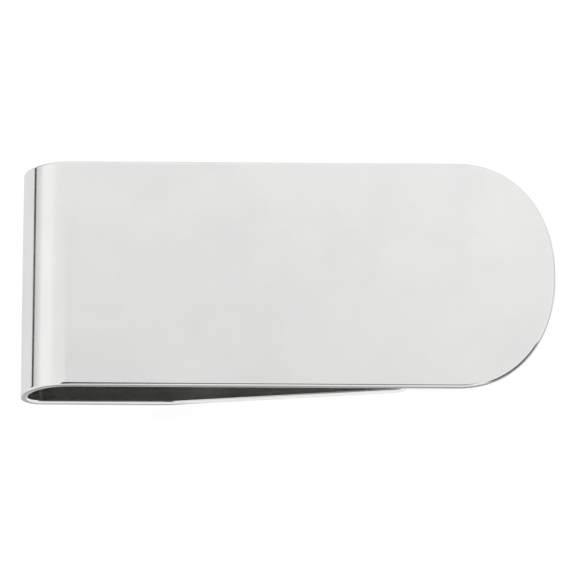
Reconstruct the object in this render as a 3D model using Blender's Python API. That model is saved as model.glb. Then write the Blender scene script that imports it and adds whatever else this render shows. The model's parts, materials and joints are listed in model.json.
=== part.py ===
"""Money clip: one strip of polished spring metal, bent into a U.

The strip is drawn as a side profile and wrapped round it. In the profile, x runs along the front
plate from the apex of the bend to the rounded end, z is up, and the plate's outer face is z = 0.
From the plate's rounded end the strip runs straight to the bend, turns back under itself, runs
parallel to the plate, and then slopes up until the tip of the back leg presses on the plate.

The real strip is one piece. It is split here into lengths: at the two places that stand for its
bending, so that the clip opens (the apex of the bend, and a point a little way along the back
leg), and where the bend runs out into the plate and into the leg.
"""

import math

import bmesh
import bpy
from mathutils import Matrix, Vector

MM = 0.001

# Driving dimensions
PLATE_LENGTH = 51.0 * MM      # apex of the bend to the plate's rounded end
WIDTH = 22.5 * MM
THICKNESS = 0.8 * MM
EDGE_RADIUS = 0.3 * MM        # rounding of every edge of the strip
PLATE_ARCH = 9.4 * MM         # how far the plate's rounded end reaches past its straight edges
LEG_ARCH = 3.2 * MM           # the same for the leg's blunter end
ARCH_POWER = 2.15             # of the superellipse that both ends follow; 2 would be an ellipse
CLIP_DEPTH = 6.8 * MM         # the plate's outer face to the outer face of the leg beside the bend
FRONT_BEND = 4.9 * MM         # outer radius of the bend's quarter that joins the plate
KINK_X = 14.4 * MM            # where the back leg starts to slope towards the plate
KINK_RADIUS = 5.0 * MM        # of the strip's middle, in that second bend
LEG_SLOPE = math.radians(11.8)
TIP_CLEARANCE = 0.1 * MM      # the leg's tip to the plate, which it touches on the real clip
LEG_HINGE = 6.5 * MM          # end of the bend to the place where the leg's own bending is lumped
GAP = 0.3 * MM                # between two neighbouring lengths of the strip

# Fineness of the curves
ARCH_STEPS = 28
BEND_STEPS = 9                # in each quarter of the bend
KINK_STEPS = 3
EDGE_SEGMENTS = 3

# How closely places and angles are told apart
NEAR = 0.01 * MM
RIM_ANGLE = math.radians(60)
SHARP_ANGLE = math.radians(40)

# Values that follow from the dimensions
HALF = THICKNESS / 2
BACK_BEND = CLIP_DEPTH - FRONT_BEND
KINK_OUTER = KINK_RADIUS + HALF
KINK_START = KINK_X - KINK_OUTER * math.tan(LEG_SLOPE / 2)


def leg_reach():
    """Length of the sloping straight that brings the rounded edge of the leg's tip up to the plate."""
    rise = CLIP_DEPTH - THICKNESS - EDGE_RADIUS - TIP_CLEARANCE
    rise -= (THICKNESS - EDGE_RADIUS) * math.cos(LEG_SLOPE)
    from_kink = rise / math.sin(LEG_SLOPE) + EDGE_RADIUS
    return from_kink - KINK_OUTER * math.tan(LEG_SLOPE / 2)


# The strip's middle line as (length, turn) runs, from the plate's tip to the leg's tip
QUARTER = math.pi / 2
RUNS = (
    (PLATE_LENGTH - FRONT_BEND, 0.0),
    ((FRONT_BEND - HALF) * QUARTER, QUARTER),
    ((BACK_BEND - HALF) * QUARTER, QUARTER),
    (KINK_START - BACK_BEND, 0.0),
    (KINK_RADIUS * LEG_SLOPE, LEG_SLOPE),
    (leg_reach(), 0.0),
)
RUN_STEPS = (1, BEND_STEPS, BEND_STEPS, 1, KINK_STEPS, 1)

# Distances along the middle line
BEND_START = RUNS[0][0]
APEX = BEND_START + RUNS[1][0]
BEND_END = APEX + RUNS[2][0]
HINGE = BEND_END + LEG_HINGE
TIP = sum(length for length, turn in RUNS)


def follow(distance):
    """The profile's point and heading after that distance along the middle line."""
    point = Vector((PLATE_LENGTH, 0.0, -HALF))
    heading = math.pi
    for index, (length, turn) in enumerate(RUNS):
        last = index == len(RUNS) - 1
        step = distance if last else min(distance, length)
        turned = turn * step / length
        chord = step if turn == 0 else 2 * length / turn * math.sin(turned / 2)
        middle = heading + turned / 2
        point = point + chord * Vector((math.cos(middle), 0.0, math.sin(middle)))
        heading += turned
        distance -= step
        if distance <= 0:
            break
    return point, heading


def stations(start, end):
    """Where a length of the strip gets a cross line, so that it can follow the profile."""
    marks = []
    travelled = 0.0
    for (length, turn), steps in zip(RUNS, RUN_STEPS):
        marks += [travelled + length * step / steps for step in range(steps + 1)]
        travelled += length
    return sorted({mark for mark in marks if start + NEAR < mark < end - NEAR})


def outline(start, end, arch):
    """The flat blank's outline, (distance, y), with a rounded end where arch is start or end."""
    half = WIDTH / 2
    if not arch:
        return [(start, -half), (end, -half), (end, half), (start, half)]
    if arch == "start":
        tip, cut, reach = start, end, -PLATE_ARCH
    else:
        tip, cut, reach = end, start, LEG_ARCH
    points = [(cut, -half)]
    for step in range(ARCH_STEPS + 1):
        angle = -QUARTER + math.pi * step / ARCH_STEPS
        along = reach * abs(math.cos(angle)) ** (2 / ARCH_POWER)
        across = half * abs(math.sin(angle)) ** (2 / ARCH_POWER)
        points.append((tip - reach + along, math.copysign(across, angle)))
    points.append((cut, half))
    return points


def is_rim(edge, cuts):
    """Whether an edge of the flat blank is one that the maker rounds, not one left by a cut."""
    at_cut = any(all(abs(v.co.x - cut) < NEAR for v in edge.verts) for cut in cuts)
    return not at_cut and edge.calc_face_angle() > RIM_ANGLE


def strip_length(name, start, end, parent, arch=None):
    """One length of the strip, cut flat, rounded at its edges and wrapped round the profile."""
    bm = bmesh.new()
    corners = [bm.verts.new((distance, y, -HALF)) for distance, y in outline(start, end, arch)]
    blank = bm.faces.new(corners)
    grown = bmesh.ops.extrude_face_region(bm, geom=[blank])["geom"]
    top = [item for item in grown if isinstance(item, bmesh.types.BMVert)]
    bmesh.ops.translate(bm, vec=(0, 0, THICKNESS), verts=top)
    for mark in stations(start, end):
        everything = bm.verts[:] + bm.edges[:] + bm.faces[:]
        bmesh.ops.bisect_plane(bm, geom=everything, plane_co=(mark, 0, 0), plane_no=(1, 0, 0))
    bmesh.ops.recalc_face_normals(bm, faces=bm.faces[:])

    cuts = {None: (start, end), "start": (end,), "end": (start,)}[arch]
    weights = bm.edges.layers.float.new("bevel_weight_edge")
    for edge in bm.edges:
        edge[weights] = 1.0 if is_rim(edge, cuts) else 0.0

    origin = parent["profile_origin"]
    for vert in bm.verts:
        point, heading = follow(vert.co.x)
        outward = Vector((math.sin(heading), 0.0, -math.cos(heading)))
        across = Vector((0.0, -1.0, 0.0))  # the strip runs towards -x, so its left side is at -y
        vert.co = point + outward * vert.co.z + across * vert.co.y - Vector(origin)

    mesh = bpy.data.meshes.new(name)
    bm.to_mesh(mesh)
    bm.free()
    mesh.shade_smooth()
    mesh.set_sharp_from_angle(angle=SHARP_ANGLE)
    piece = bpy.data.objects.new(name, mesh)
    bpy.context.scene.collection.objects.link(piece)
    piece.parent = parent
    round_edges(piece)
    return piece


def round_edges(piece):
    bevel = piece.modifiers.new("rounded_edges", "BEVEL")
    bevel.limit_method = "WEIGHT"
    bevel.width = EDGE_RADIUS
    bevel.segments = EDGE_SEGMENTS
    bevel.use_clamp_overlap = False


def polished_metal(name):
    metal = bpy.data.materials.new(name)
    metal.use_nodes = True
    shader = metal.node_tree.nodes["Principled BSDF"]
    shader.inputs["Base Color"].default_value = (0.80, 0.80, 0.79, 1.0)
    shader.inputs["Metallic"].default_value = 1.0
    shader.inputs["Roughness"].default_value = 0.14
    return metal


def hinge_point(name, distance, parent):
    """An empty on the strip's middle line, about which the pieces beyond it turn."""
    point = follow(distance)[0]
    empty = bpy.data.objects.new(name, None)
    bpy.context.scene.collection.objects.link(empty)
    empty["profile_origin"] = tuple(point)
    empty.parent = parent
    empty.location = point - Vector(parent["profile_origin"])
    return empty


def lying_frame():
    """The profile's empty, tilted and placed so that the clip lies on z = 0, centred on the origin.

    The clip lies on the outside of its second bend and on the plate's rounded end, so the ground
    is the line that touches both of those round edges from below.
    """
    kink_centre = Vector((KINK_START, KINK_OUTER - CLIP_DEPTH))
    end_centre = Vector((PLATE_LENGTH - EDGE_RADIUS, EDGE_RADIUS - THICKNESS))
    between = end_centre - kink_centre
    slant = math.asin((KINK_OUTER - EDGE_RADIUS) / between.length)
    tilt = math.atan2(between.y, between.x) + slant
    turn = Matrix.Rotation(-tilt, 2)

    bend_centre = Vector((BACK_BEND, BACK_BEND - CLIP_DEPTH))
    upper_edge_centre = Vector((PLATE_LENGTH - EDGE_RADIUS, -EDGE_RADIUS))
    left = (turn @ bend_centre).x - BACK_BEND
    right = (turn @ upper_edge_centre).x + EDGE_RADIUS
    bottom = (turn @ kink_centre).y - KINK_OUTER

    frame = bpy.data.objects.new("lying_frame", None)
    bpy.context.scene.collection.objects.link(frame)
    frame["profile_origin"] = (0.0, 0.0, 0.0)
    frame.rotation_euler = (0.0, tilt, 0.0)
    frame.location = (-(left + right) / 2, 0.0, -bottom)
    return frame


def main():
    for leftover in list(bpy.data.objects):
        bpy.data.objects.remove(leftover)

    frame = lying_frame()
    leg_hinge = hinge_point("leg_hinge", HINGE, frame)
    bend_hinge = hinge_point("bend_hinge", APEX, leg_hinge)
    half_gap = GAP / 2

    pieces = [
        strip_length("back_leg", HINGE + half_gap, TIP, frame, arch="end"),
        strip_length("leg_root", BEND_END + half_gap, HINGE - half_gap, leg_hinge),
        strip_length("bend_back", APEX + half_gap, BEND_END - half_gap, leg_hinge),
        strip_length("bend_front", BEND_START + half_gap, APEX - half_gap, bend_hinge),
        strip_length("front_plate", 0.0, BEND_START - half_gap, bend_hinge, arch="start"),
    ]
    for piece in pieces:
        piece.data.materials.append(polished_metal(piece.name + "_metal"))


main()
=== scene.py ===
"""Looks of the money clip: the polished strip at full detail, its material, and a plain studio.

The strip is drawn flat, as a blank with rounded edges, and wrapped round its side profile. The
profile's x runs along the front plate from the apex of the bend to the rounded end, its z is up,
and the plate's outer face is z = 0. Lengths are in metres, angles in radians.
"""

import json
import math

import bmesh
import bpy
from mathutils import Matrix, Vector


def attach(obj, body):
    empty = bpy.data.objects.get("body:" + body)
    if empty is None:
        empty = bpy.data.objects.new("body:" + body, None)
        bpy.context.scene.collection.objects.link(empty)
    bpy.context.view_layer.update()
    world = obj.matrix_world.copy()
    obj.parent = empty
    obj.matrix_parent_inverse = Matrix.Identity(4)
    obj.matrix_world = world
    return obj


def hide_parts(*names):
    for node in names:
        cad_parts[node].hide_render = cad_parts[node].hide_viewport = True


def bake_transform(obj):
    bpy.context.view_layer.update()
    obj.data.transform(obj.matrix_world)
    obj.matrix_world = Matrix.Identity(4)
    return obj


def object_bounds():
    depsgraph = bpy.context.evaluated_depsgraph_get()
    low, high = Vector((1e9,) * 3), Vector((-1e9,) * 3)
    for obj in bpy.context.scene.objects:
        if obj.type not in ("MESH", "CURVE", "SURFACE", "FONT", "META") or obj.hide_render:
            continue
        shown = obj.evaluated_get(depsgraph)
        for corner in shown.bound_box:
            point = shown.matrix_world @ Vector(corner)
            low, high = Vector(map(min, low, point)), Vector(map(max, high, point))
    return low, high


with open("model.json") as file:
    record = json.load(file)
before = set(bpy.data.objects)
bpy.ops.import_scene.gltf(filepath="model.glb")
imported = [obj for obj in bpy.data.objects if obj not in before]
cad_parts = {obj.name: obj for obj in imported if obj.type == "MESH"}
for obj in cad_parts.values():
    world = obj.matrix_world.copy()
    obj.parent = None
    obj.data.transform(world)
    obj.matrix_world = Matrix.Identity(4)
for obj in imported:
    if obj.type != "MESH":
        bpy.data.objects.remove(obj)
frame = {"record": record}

MM = 0.001
CAD_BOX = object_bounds()

# The strip, as in the CAD model
PLATE_LENGTH = 51.0 * MM         # apex of the bend to the plate's rounded end
WIDTH = 22.5 * MM
THICKNESS = 0.8 * MM
EDGE_RADIUS = 0.3 * MM
PLATE_ARCH = 9.4 * MM            # how far the plate's rounded end reaches past its sides
LEG_ARCH = 3.2 * MM              # the same for the leg's blunter end
ARCH_POWER = 2.15                # of the superellipse that both ends follow; 2 would be an ellipse
CLIP_DEPTH = 6.8 * MM            # outer face to outer face beside the bend
FRONT_BEND = 4.9 * MM            # outer radius of the bend's quarter that joins the plate
KINK_X = 14.4 * MM               # where the back leg starts to slope towards the plate
KINK_RADIUS = 5.0 * MM
LEG_SLOPE = math.radians(11.8)
TIP_CLEARANCE = 0.1 * MM
MOUNT_X = 25.0 * MM              # profile x of the record's front_face mount

# Where one visible length of the strip ends and the next begins, by profile x
PLATE_JOIN_X = 6.0 * MM
ROOT_JOIN_X = 4.0 * MM
LEG_JOIN_X = 12.8 * MM

# Fineness of the mesh
ARCH_STEPS = 72
CURVE_STEP = 0.16 * MM           # along the strip where it is bent
FLAT_STEP = 0.5 * MM             # along the strip where it is straight
COLUMNS = 44                     # across the strip
EDGE_STEPS = 9                   # in each rounded edge
SAME_PLACE = 0.0005 * MM         # points closer than this are one

# The polished metal
FACE_TONES = ((0.755, 0.755, 0.750, 1.0), (0.785, 0.785, 0.778, 1.0))
# the cut edge's colour is painted shade: darkened to stand in for the shaded floor that the rim
# mirrors
PAINTED_EDGE_SHADE_TONE = (0.26, 0.26, 0.256, 1.0)
DULL_AND_SHADED_EDGE_SHARES = (0.72, 0.93)   # the edge shares between which the face turns into cut edge, rougher and with painted shade in its colour
ROUGHNESS = 0.085                # where the metal is cleanest; the next three add to it
SMUDGE_ROUGHNESS = 0.05
BUFFING_ROUGHNESS = 0.03
CUT_EDGE_ROUGHNESS = 0.14
HAIRLINE_HEIGHT = 0.6            # this and the next in shares of the bump's distance
CLOUD_HEIGHT = 1.4
BUMP_STRENGTH = 0.3
BUMP_DISTANCE = 0.0012 * MM
EDGE_SHADE_FADE_LENGTH = 5.0 * MM         # past the leg's kink, over which its cut edge turns brighter and less rough: its painted shade fades there, a painted highlight

# The noises in it, as (marks per metre along x, y and z, detail, roughness of the noise)
CLOUDS = ((160.0, 160.0, 160.0), 3.0, 0.55)
BUFFING = ((300.0, 9000.0, 300.0), 2.0, 0.55)
HAIRLINES = ((900.0, 26000.0, 900.0), 1.0, 0.55)
SMUDGES = ((95.0, 130.0, 95.0), 4.0, 0.62)

# The values of a noise between which it comes into effect
CLOUD_RANGE = (0.3, 0.7)
BUFFING_RANGE = (0.35, 0.75)
SMUDGE_RANGE = (0.42, 0.72)

# The photograph's view
VIEW_TILT = math.radians(18.0)   # off the plate's own normal, towards its near long side
VIEW_YAW = math.radians(-0.8)
VIEW_ROLL = math.radians(0.1)
CAMERA_DISTANCE = 0.6
LENS = 393.6                     # focal length in millimetres
SENSOR = 36.0                    # width of the camera's sensor in millimetres
NEAREST_SEEN = 0.01
FARTHEST_SEEN = 20.0
AIM_UP = -1.42 * MM              # the point looked at, from the middle of the plate
AIM_SIDE = 0.02 * MM

# How often light may bounce: the two faces of the mouth mirror each other
MIRROR_BOUNCES = 20
ALL_BOUNCES = 24

# The light table and the tent
FLOOR_HALF = 2.0
FLOOR_TONE = 0.8
FLOOR_GLOW = 0.42
FLOOR_SPECULAR = 0.1
TENT_STRENGTH = 1.15
TENT_BLUE = 0.997                # the blue in the tent's white
TENT_TONES = (                   # (height, tone), from level to straight up
    (0.00, 0.68),
    (0.18, 0.70),
    (0.30, 0.78),
    (0.44, 0.96),
    (0.70, 0.98),
    (0.86, 0.88),
    (1.00, 0.84),
)

# The softbox that the plate mirrors, and the dark cloths beside the camera
SOFTBOX_DISTANCE = 0.4
SOFTBOX_SIDE = 0.22
SOFTBOX_GLOW = 0.88
SOFTBOX_RISES = (                # (axis of the panel, from, to, glow gained between them)
    ("X", -0.02, 0.08, 0.11),
    ("Y", -0.026, 0.026, 0.125),
)
CLOTH_DISTANCE = 0.5
CLOTHS = (                       # (x from, x to, lean from, lean to, glow)
    (-0.20, -0.022, math.radians(0.0), math.radians(60.0), 0.01),
    (-0.022, 0.09, math.radians(6.0), math.radians(41.0), 0.24),
)

# The cards that the clip's edges and its bend mirror
CORNER_CARD_AZIMUTH = math.radians(-40.0)
CORNER_CARD_PLACE = (26.0 * MM, -12.0 * MM)          # x and y of its middle
CORNER_CARD_WIDTH = 11.0 * MM
CORNER_CARD_HEIGHT = 6.0 * MM
CORNER_CARD_GLOW = 0.08
FRONT_CARD_GAP = 6.0 * MM        # to the clip's near side
FRONT_CARD_LEFT = -0.08          # x of its two ends
FRONT_CARD_RIGHT = 0.018
FRONT_CARD_HEIGHT = 10.5 * MM
FRONT_CARD_GLOW = 1.05
LEFT_CARD_NEAR = -0.0285         # x of the lying card's two ends
LEFT_CARD_FAR = -0.35
LEFT_CARD_DEPTH = 0.26
LEFT_CARD_LIFT = 0.5 * MM        # above the floor
LEFT_CARD_TONE = 0.91
END_CARD_GAP = 0.5 * MM          # from the plate's rounded end
END_CARD_SIDE = 0.3
END_CARD_LIFT = 0.3 * MM
END_CARD_TONE = 0.97
FLAG_X = -0.085
FLAG_LENGTH = 0.2
FLAG_BOTTOM = 7.0 * MM
FLAG_TOP = 14.6 * MM
FLAG_TONE = 0.05
SIDE_SHIFT = 0.03                # of the left card and the flag, to where the bend mirrors them
PAPER_ROUGHNESS = 0.9

# Values that follow
HALF = THICKNESS / 2
QUARTER = math.pi / 2
BACK_BEND = CLIP_DEPTH - FRONT_BEND
KINK_OUTER = KINK_RADIUS + HALF
KINK_START = KINK_X - KINK_OUTER * math.tan(LEG_SLOPE / 2)


def leg_reach():
    """Length of the sloping straight that brings the leg's rounded tip up to the plate."""
    rise = CLIP_DEPTH - THICKNESS - EDGE_RADIUS - TIP_CLEARANCE
    rise -= (THICKNESS - EDGE_RADIUS) * math.cos(LEG_SLOPE)
    from_kink = rise / math.sin(LEG_SLOPE) + EDGE_RADIUS
    return from_kink - KINK_OUTER * math.tan(LEG_SLOPE / 2)


# The strip's middle line as (length, turn) runs, from the plate's tip to the leg's tip
RUNS = (
    (PLATE_LENGTH - FRONT_BEND, 0.0),
    ((FRONT_BEND - HALF) * QUARTER, QUARTER),
    ((BACK_BEND - HALF) * QUARTER, QUARTER),
    (KINK_START - BACK_BEND, 0.0),
    (KINK_RADIUS * LEG_SLOPE, LEG_SLOPE),
    (leg_reach(), 0.0),
)

# Distances along the middle line
APEX = RUNS[0][0] + RUNS[1][0]
BEND_END = APEX + RUNS[2][0]
KINK = BEND_END + RUNS[3][0]
TIP = sum(length for length, turn in RUNS)
PLATE_JOIN = PLATE_LENGTH - PLATE_JOIN_X
ROOT_JOIN = BEND_END + ROOT_JOIN_X - BACK_BEND
LEG_JOIN = BEND_END + LEG_JOIN_X - BACK_BEND

# The cut edge's painted shade and dullness, full on the plate and fading along the leg, where the
# lighter edge is a painted highlight: (distance, shade and dullness)
EDGE_SHADE_AND_DULLNESS_TABLE = (
    (APEX, 1.0),
    (BEND_END, 0.89),
    (KINK, 0.89),
    (KINK + EDGE_SHADE_FADE_LENGTH, 0.76),
)


# ---------------------------------------------------------------- the profile and its place

def follow(distance):
    """The profile's point and heading after that distance along the middle line."""
    point = Vector((PLATE_LENGTH, 0.0, -HALF))
    heading = math.pi
    for index, (length, turn) in enumerate(RUNS):
        last = index == len(RUNS) - 1
        step = distance if last else min(distance, length)
        turned = turn * step / length
        chord = step if turn == 0 else 2 * length / turn * math.sin(turned / 2)
        middle = heading + turned / 2
        point = point + chord * Vector((math.cos(middle), 0.0, math.sin(middle)))
        heading += turned
        distance -= step
        if distance <= 0:
            break
    return point, heading


def profile_frame():
    """The matrix that carries the profile to its place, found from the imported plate's face."""
    mounts = frame["record"]["mounts"]
    face = next(mount for mount in mounts if mount["name"] == "front_face")
    up = Vector(face["axis"]).normalized()
    along = Vector((up.z, 0.0, -up.x))
    origin = Vector(face["pos_m"]) - MOUNT_X * along
    axes = Matrix((along, Vector((0.0, 1.0, 0.0)), up)).transposed()
    return Matrix.Translation(origin) @ axes.to_4x4()


PROFILE = profile_frame()
ALONG = PROFILE.to_3x3() @ Vector((1.0, 0.0, 0.0))
ACROSS = Vector((0.0, 1.0, 0.0))
OUTWARD = PROFILE.to_3x3() @ Vector((0.0, 0.0, 1.0))
STRAIGHT_UP = Vector((0.0, 0.0, 1.0))


def placed(x, y, z):
    """A profile point, in the shared frame."""
    return PROFILE @ Vector((x, y, z))


def wrapped(blank_point):
    """A point of the flat blank (distance, y, height over the middle), in the shared frame."""
    point, heading = follow(blank_point.x)
    outward = Vector((math.sin(heading), 0.0, -math.cos(heading)))
    return PROFILE @ (point + outward * blank_point.z - ACROSS * blank_point.y)


def wrapped_normal(distance, blank_normal):
    """The normal there, in the shared frame, of a surface whose normal on the blank is known."""
    heading = follow(distance)[1]
    forward = Vector((math.cos(heading), 0.0, math.sin(heading)))
    outward = Vector((math.sin(heading), 0.0, -math.cos(heading)))
    turned = forward * blank_normal.x - ACROSS * blank_normal.y + outward * blank_normal.z
    return (PROFILE.to_3x3() @ turned).normalized()


# ---------------------------------------------------------------- the strip's mesh

def cross_lines(start, end):
    """Distances of the cross lines of a length of strip, closer together where it is bent."""
    marks = [start]
    travelled = 0.0
    for length, turn in RUNS:
        low, high = max(start, travelled), min(end, travelled + length)
        travelled += length
        if high <= low:
            continue
        steps = math.ceil((high - low) / (CURVE_STEP if turn else FLAT_STEP))
        marks += [low + (high - low) * step / steps for step in range(1, steps + 1)]
    return marks


def rows_of(start, end, arch):
    """The blank's outline as (distance, half width, outward normal) rows from start to end."""
    half = WIDTH / 2
    side = Vector((0.0, 1.0, 0.0))
    if not arch:
        return [(mark, half, side) for mark in cross_lines(start, end)]
    if arch == "start":
        reach = -PLATE_ARCH
        straight = cross_lines(start - reach, end)
        base = straight[0]
    else:
        reach = LEG_ARCH
        straight = cross_lines(start, end - reach)
        base = straight[-1]

    curved = []
    power = 2 / ARCH_POWER
    for step in range(1, ARCH_STEPS + 1):
        angle = QUARTER * step / ARCH_STEPS
        sine, cosine = math.sin(angle), math.cos(angle)
        normal = Vector((sine ** (2 - power) / reach, cosine ** (2 - power) / half, 0.0))
        curved.append((base + reach * sine**power, half * cosine**power, normal.normalized()))
    rows = [(mark, half, side) for mark in straight]
    return curved[::-1] + rows if arch == "start" else rows + curved


def edge_shade_and_dullness(distance):
    """The cut edge's painted shade and dullness there, which fall along the strip from the plate to
    the leg.
    """
    for (low, before), (high, after) in zip(EDGE_SHADE_AND_DULLNESS_TABLE, EDGE_SHADE_AND_DULLNESS_TABLE[1:]):
        if distance < high:
            share = max(0.0, (distance - low) / (high - low))
            return before + (after - before) * share
    return EDGE_SHADE_AND_DULLNESS_TABLE[-1][1]


def ring_of(row):
    """One cross section of the blank as (point, normal, edge share) triples, right round it."""
    distance, half_width, side = row
    # how much painted shade and dullness the cut edge has here
    rim_shade_and_dullness = edge_shade_and_dullness(distance)
    edge = Vector((distance, half_width, 0.0)) - side * EDGE_RADIUS
    rounded = []
    for step in range(EDGE_STEPS + 1):
        angle = QUARTER * step / EDGE_STEPS
        normal = side * math.sin(angle) + Vector((0.0, 0.0, math.cos(angle)))
        point = edge + normal * EDGE_RADIUS + Vector((0.0, 0.0, HALF - EDGE_RADIUS))
        rounded.append((point, normal, math.sin(angle) * rim_shade_and_dullness))

    under = Vector((1.0, 1.0, -1.0))
    opposite = Vector((1.0, -1.0, 1.0))
    right = rounded + [(p * under, n * under, share) for p, n, share in reversed(rounded)]
    left = [(p * opposite, n * opposite, share) for p, n, share in reversed(right)]
    return right + flat_points(right[-1], left[0]) + left + flat_points(left[-1], right[0])


def flat_points(first, last):
    """The points between two ends of a flat face, across the strip."""
    points = []
    for column in range(1, COLUMNS):
        point = first[0].lerp(last[0], column / COLUMNS)
        points.append((point, first[1], 0.0))
    return points


def strip_length(name, start, end, arch=None):
    """One length of the strip, closed at its cut ends, as an object in the shared frame."""
    bm = bmesh.new()
    normals = bm.verts.layers.float_vector.new("wrapped_normal")
    edge_share = bm.verts.layers.float.new("edge_share")
    rings = []
    for row in rows_of(start, end, arch):
        ring = []
        for point, normal, share in ring_of(row):
            vert = bm.verts.new(wrapped(point))
            vert[normals] = wrapped_normal(point.x, normal)
            vert[edge_share] = share
            ring.append(vert)
        rings.append(ring)

    for ring, following in zip(rings, rings[1:]):
        for index in range(len(ring)):
            after = (index + 1) % len(ring)
            bm.faces.new((ring[index], ring[after], following[after], following[index]))
    caps = []
    if arch != "start":
        caps.append(bm.faces.new(rings[0][::-1]))
    if arch != "end":
        caps.append(bm.faces.new(rings[-1]))
    for cap in caps:
        cap.material_index = 1
    bmesh.ops.remove_doubles(bm, verts=bm.verts[:], dist=SAME_PLACE)
    bmesh.ops.recalc_face_normals(bm, faces=bm.faces[:])

    mesh = bpy.data.meshes.new(name)
    bm.to_mesh(mesh)
    bm.free()
    piece = bpy.data.objects.new(name, mesh)
    bpy.context.scene.collection.objects.link(piece)
    set_normals(mesh)
    return piece


def set_normals(mesh):
    """The exact surface normals, so that reflections run on from one length to the next."""
    stored = mesh.attributes["wrapped_normal"].data
    loops = []
    for polygon in mesh.polygons:
        polygon.use_smooth = True
        at_cap = polygon.material_index == 1
        for index in polygon.vertices:
            loops.append(polygon.normal if at_cap else stored[index].vector)
        polygon.material_index = 0
    mesh.normals_split_custom_set(loops)
    mesh.attributes.remove(mesh.attributes["wrapped_normal"])


# ---------------------------------------------------------------- polished metal

class Nodes:
    """Short calls for building a node tree."""

    def __init__(self, tree):
        self.tree = tree

    def add(self, kind, settings=None, **values):
        """A new node with those properties, and values for its inputs, by name with _ for space."""
        node = self.tree.nodes.new(kind)
        for key, value in (settings or {}).items():
            setattr(node, key, value)
        for key, value in values.items():
            self.put(node.inputs[key.replace("_", " ")], value)
        return node

    def put(self, socket, value):
        """Link another node's output to the socket, or set the socket itself."""
        if isinstance(value, bpy.types.NodeSocket):
            self.tree.links.new(value, socket)
        else:
            socket.default_value = value

    def math(self, operation, first, second):
        node = self.tree.nodes.new("ShaderNodeMath")
        node.operation = operation
        self.put(node.inputs[0], first)
        self.put(node.inputs[1], second)
        return node.outputs[0]

    def ramp(self, value, low, high, top):
        """Smoothly from 0 to top as the value goes from low to high."""
        node = self.add("ShaderNodeMapRange", {"interpolation_type": "SMOOTHSTEP"})
        for socket, amount in zip(node.inputs, (value, low, high, 0.0, top)):
            self.put(socket, amount)
        return node.outputs[0]

    def mix(self, share, first, second):
        """The colour that lies that share of the way from the first to the second."""
        node = self.add("ShaderNodeMix", {"data_type": "RGBA"})
        colours = [socket for socket in node.inputs if socket.type == "RGBA"]
        for socket, value in zip([node.inputs[0]] + colours, (share, first, second)):
            self.put(socket, value)
        return next(socket for socket in node.outputs if socket.type == "RGBA")


def stretched_noise(nodes, scale, detail, rough):
    """Noise whose grain has its own scale along each axis, in marks per metre."""
    place = nodes.add("ShaderNodeTexCoord").outputs["Object"]
    mapping = nodes.add("ShaderNodeMapping", Scale=scale, Vector=place)
    noise = nodes.add(
        "ShaderNodeTexNoise",
        Vector=mapping.outputs[0],
        Scale=1.0,
        Detail=detail,
        Roughness=rough,
    )
    return noise.outputs["Fac"]


def polished_metal():
    """Faint clouds and buffing lines, smudges in the gloss, hairlines, and a rougher cut edge whose
    darker colour is painted shade.
    """
    material = bpy.data.materials.new("polished_metal")
    material.use_nodes = True
    nodes = Nodes(material.node_tree)
    shader = material.node_tree.nodes["Principled BSDF"]
    shader.inputs["Metallic"].default_value = 1.0

    cloud = stretched_noise(nodes, *CLOUDS)
    buffing = stretched_noise(nodes, *BUFFING)
    hairline = stretched_noise(nodes, *HAIRLINES)
    smudge = stretched_noise(nodes, *SMUDGES)
    edge = nodes.add("ShaderNodeAttribute", {"attribute_name": "edge_share"}).outputs["Fac"]
    dull_and_shaded_edge = nodes.ramp(edge, *DULL_AND_SHADED_EDGE_SHARES, 1.0)

    face_colour = nodes.mix(nodes.ramp(cloud, *CLOUD_RANGE, 1.0), *FACE_TONES)
    # painted shade: the cut edge's colour darkened to stand in for the shaded floor it mirrors; its
    # added roughness below is real
    colour = nodes.mix(dull_and_shaded_edge, face_colour, PAINTED_EDGE_SHADE_TONE)
    nodes.put(shader.inputs["Base Color"], colour)

    worn = nodes.ramp(smudge, *SMUDGE_RANGE, SMUDGE_ROUGHNESS)
    lines = nodes.ramp(buffing, *BUFFING_RANGE, BUFFING_ROUGHNESS)
    rough = nodes.math("ADD", nodes.math("ADD", worn, lines), ROUGHNESS)
    cut_rough = nodes.math("MULTIPLY", dull_and_shaded_edge, CUT_EDGE_ROUGHNESS)
    nodes.put(shader.inputs["Roughness"], nodes.math("ADD", rough, cut_rough))

    hairs = nodes.math("MULTIPLY", hairline, HAIRLINE_HEIGHT)
    height = nodes.math("ADD", hairs, nodes.math("MULTIPLY", cloud, CLOUD_HEIGHT))
    bump = nodes.add(
        "ShaderNodeBump",
        Strength=BUMP_STRENGTH,
        Distance=BUMP_DISTANCE,
        Height=height,
    )
    nodes.put(shader.inputs["Normal"], bump.outputs[0])
    return material


# ---------------------------------------------------------------- studio materials

def paper(name, tone, glow=0.0, specular=0.0):
    """A matt white, grey or black sheet, which may also glow."""
    material = bpy.data.materials.new(name)
    material.use_nodes = True
    shader = material.node_tree.nodes["Principled BSDF"]
    shader.inputs["Base Color"].default_value = (tone, tone, tone, 1.0)
    shader.inputs["Roughness"].default_value = PAPER_ROUGHNESS
    shader.inputs["Specular IOR Level"].default_value = specular
    shader.inputs["Emission Color"].default_value = (1.0, 1.0, 1.0, 1.0)
    shader.inputs["Emission Strength"].default_value = glow
    return material


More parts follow.
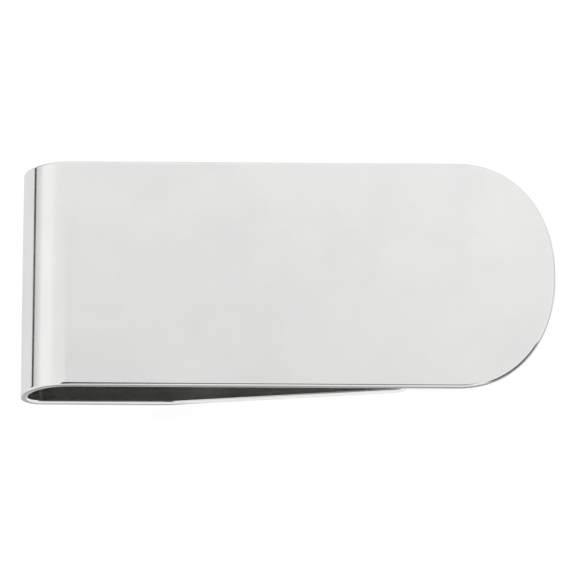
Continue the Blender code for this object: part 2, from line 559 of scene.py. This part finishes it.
def light(name, glow, rises=()):
    """An even glow, or one that rises along the panel's own axes: (axis, from, to, gain)."""
    material = bpy.data.materials.new(name)
    material.use_nodes = True
    tree = material.node_tree
    tree.nodes.clear()
    nodes = Nodes(tree)
    strength = glow
    for axis, low, high, gain in rises:
        place = nodes.add("ShaderNodeTexCoord").outputs["Object"]
        along = nodes.add("ShaderNodeSeparateXYZ", Vector=place).outputs[axis]
        strength = nodes.math("ADD", strength, nodes.ramp(along, low, high, gain))
    emission = nodes.add("ShaderNodeEmission", Strength=strength)
    out = nodes.add("ShaderNodeOutputMaterial")
    tree.links.new(emission.outputs[0], out.inputs["Surface"])
    return material


# ---------------------------------------------------------------- studio

def light_tent():
    """White all round, brightest at half height."""
    world = bpy.data.worlds.new("light_tent")
    world.use_nodes = True
    nodes = Nodes(world.node_tree)
    background = world.node_tree.nodes["Background"]
    direction = nodes.add("ShaderNodeTexCoord").outputs["Generated"]
    height = nodes.add("ShaderNodeSeparateXYZ", Vector=direction).outputs["Z"]
    ramp = nodes.add("ShaderNodeValToRGB", Fac=height)
    stops = ramp.color_ramp.elements
    while len(stops) < len(TENT_TONES):
        stops.new(0.5)
    for stop, (place, tone) in zip(stops, TENT_TONES):
        stop.position = place
        stop.color = (tone, tone, tone * TENT_BLUE, 1.0)
    nodes.put(background.inputs["Color"], ramp.outputs["Color"])
    background.inputs["Strength"].default_value = TENT_STRENGTH
    bpy.context.scene.world = world


def flat_object(name, width, height, material):
    """A flat rectangle about the origin, linked to the scene."""
    bm = bmesh.new()
    bmesh.ops.create_grid(bm, x_segments=1, y_segments=1, size=0.5)
    bmesh.ops.scale(bm, vec=(width, height, 1.0), verts=bm.verts[:])
    mesh = bpy.data.meshes.new(name)
    bm.to_mesh(mesh)
    bm.free()
    mesh.materials.append(material)
    flat = bpy.data.objects.new(name, mesh)
    bpy.context.scene.collection.objects.link(flat)
    return flat


def floor():
    """A light table: pale, evenly lit from below as well, so that shadows stay faint."""
    table = paper("light_table", FLOOR_TONE, glow=FLOOR_GLOW, specular=FLOOR_SPECULAR)
    flat_object("floor", 2 * FLOOR_HALF, 2 * FLOOR_HALF, table)


def panel(name, centre, away, upright, width, height, material):
    """A flat studio panel on that side of the clip, seen only in its polish."""
    card = flat_object(name, width, height, material)
    tall = (upright - away * upright.dot(away)).normalized()
    axes = Matrix((tall.cross(away), tall, away)).transposed().to_4x4()
    card.matrix_world = Matrix.Translation(centre) @ axes
    card.visible_camera = False
    card.visible_diffuse = False
    card.visible_shadow = False


def leaning(angle):
    """The direction that leans from the plate's normal towards its near side by that angle."""
    return (OUTWARD * math.cos(angle) - ACROSS * math.sin(angle)).normalized()


def softbox():
    """The light that the whole plate mirrors, brighter towards its far right corner."""
    away = leaning(-VIEW_TILT)
    centre = placed(PLATE_LENGTH / 2, 0.0, 0.0) + away * SOFTBOX_DISTANCE
    glow = light("softbox_light", SOFTBOX_GLOW, SOFTBOX_RISES)
    panel("softbox", centre, away, ACROSS, SOFTBOX_SIDE, SOFTBOX_SIDE, glow)


def camera_cloths():
    """Dark cloths beside the camera, which the clip's rounded near edge mirrors."""
    middle = placed(PLATE_LENGTH / 2, 0.0, 0.0)
    for index, (left, right, low, high, glow) in enumerate(CLOTHS, start=1):
        away = leaning((high + low) / 2)
        panel(
            f"camera_cloth_{index}",
            middle + away * CLOTH_DISTANCE + ALONG * (left + right) / 2,
            away,
            ACROSS,
            right - left,
            2 * CLOTH_DISTANCE * math.tan((high - low) / 2),
            light(f"dark_cloth_{index}", glow),
        )


def edge_cards():
    """A dark card at the plate's near corner, and a white one along the clip's near side."""
    to_corner = Vector((math.cos(CORNER_CARD_AZIMUTH), math.sin(CORNER_CARD_AZIMUTH), 0.0))
    panel(
        "corner_card",
        Vector((*CORNER_CARD_PLACE, CORNER_CARD_HEIGHT / 2)),
        to_corner,
        STRAIGHT_UP,
        CORNER_CARD_WIDTH,
        CORNER_CARD_HEIGHT,
        light("grey_card_light", CORNER_CARD_GLOW),
    )
    front_middle = (FRONT_CARD_LEFT + FRONT_CARD_RIGHT) / 2
    panel(
        "front_card",
        Vector((front_middle, -WIDTH / 2 - FRONT_CARD_GAP, FRONT_CARD_HEIGHT / 2)),
        -ACROSS,
        STRAIGHT_UP,
        FRONT_CARD_RIGHT - FRONT_CARD_LEFT,
        FRONT_CARD_HEIGHT,
        light("white_card_light", FRONT_CARD_GLOW),
    )


def lying_cards():
    """White cards on the light table, beside the bend and past the plate's rounded end."""
    panel(
        "left_card",
        Vector(((LEFT_CARD_NEAR + LEFT_CARD_FAR) / 2, SIDE_SHIFT, LEFT_CARD_LIFT)),
        -STRAIGHT_UP,
        ACROSS,
        LEFT_CARD_NEAR - LEFT_CARD_FAR,
        LEFT_CARD_DEPTH,
        paper("white_paper", LEFT_CARD_TONE),
    )
    past_end = CAD_BOX[1][0] + END_CARD_GAP + END_CARD_SIDE / 2
    panel(
        "end_card",
        Vector((past_end, 0.0, END_CARD_LIFT)),
        -STRAIGHT_UP,
        ACROSS,
        END_CARD_SIDE,
        END_CARD_SIDE,
        paper("bright_paper", END_CARD_TONE),
    )


def bend_flag():
    """A black strip to the left of the clip, which the bend mirrors."""
    panel(
        "bend_flag",
        Vector((FLAG_X, SIDE_SHIFT, (FLAG_BOTTOM + FLAG_TOP) / 2)),
        Vector((-1.0, 0.0, 0.0)),
        STRAIGHT_UP,
        FLAG_LENGTH,
        FLAG_TOP - FLAG_BOTTOM,
        paper("black_paper", FLAG_TONE),
    )


def studio():
    """Tent, light table, and the panels and cards that the polish mirrors."""
    light_tent()
    floor()
    softbox()
    camera_cloths()
    edge_cards()
    lying_cards()
    bend_flag()


def camera():
    """The photograph's view: from the near long edge, tipped off the plate's own normal."""
    data = bpy.data.cameras.new("camera")
    data.lens = LENS
    data.sensor_width = SENSOR
    data.clip_start = NEAREST_SEEN
    data.clip_end = FARTHEST_SEEN
    viewer = bpy.data.objects.new("camera", data)
    bpy.context.scene.collection.objects.link(viewer)
    tipped = leaning(VIEW_TILT)
    back = (tipped * math.cos(VIEW_YAW) + ALONG * math.sin(VIEW_YAW)).normalized()
    upright = (ACROSS - back * ACROSS.dot(back)).normalized()
    side = upright.cross(back)
    axes = Matrix((side, upright, back)).transposed().to_4x4()
    aim = placed(PLATE_LENGTH / 2, 0.0, 0.0) + upright * AIM_UP + side * AIM_SIDE
    roll = Matrix.Rotation(VIEW_ROLL, 4, "Z")
    viewer.matrix_world = Matrix.Translation(aim + back * CAMERA_DISTANCE) @ axes @ roll
    bpy.context.scene.camera = viewer


# ---------------------------------------------------------------- the scene

def polished_strip():
    """The clip: four lengths of strip that stand for the CAD's five, and how each one moves."""
    metal = polished_metal()
    plate = strip_length("front_plate_polished", 0.0, PLATE_JOIN, arch="start")
    bend = strip_length("spring_bend_polished", PLATE_JOIN, ROOT_JOIN)
    root = strip_length("leg_root_polished", ROOT_JOIN, LEG_JOIN)
    leg = strip_length("back_leg_polished", LEG_JOIN, TIP, arch="end")
    for piece in (plate, bend, root, leg):
        piece.data.materials.append(metal)

    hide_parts("front_plate")
    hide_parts("bend_front", "bend_back")
    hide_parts("leg_root")
    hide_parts("back_leg")
    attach(plate, "front")
    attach(leg, "leg")
    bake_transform(bend)
    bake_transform(root)


def main():
    polished_strip()
    studio()
    camera()
    bpy.context.scene.view_settings.view_transform = "Standard"
    bpy.context.scene.cycles.glossy_bounces = MIRROR_BOUNCES
    bpy.context.scene.cycles.max_bounces = ALL_BOUNCES


main()
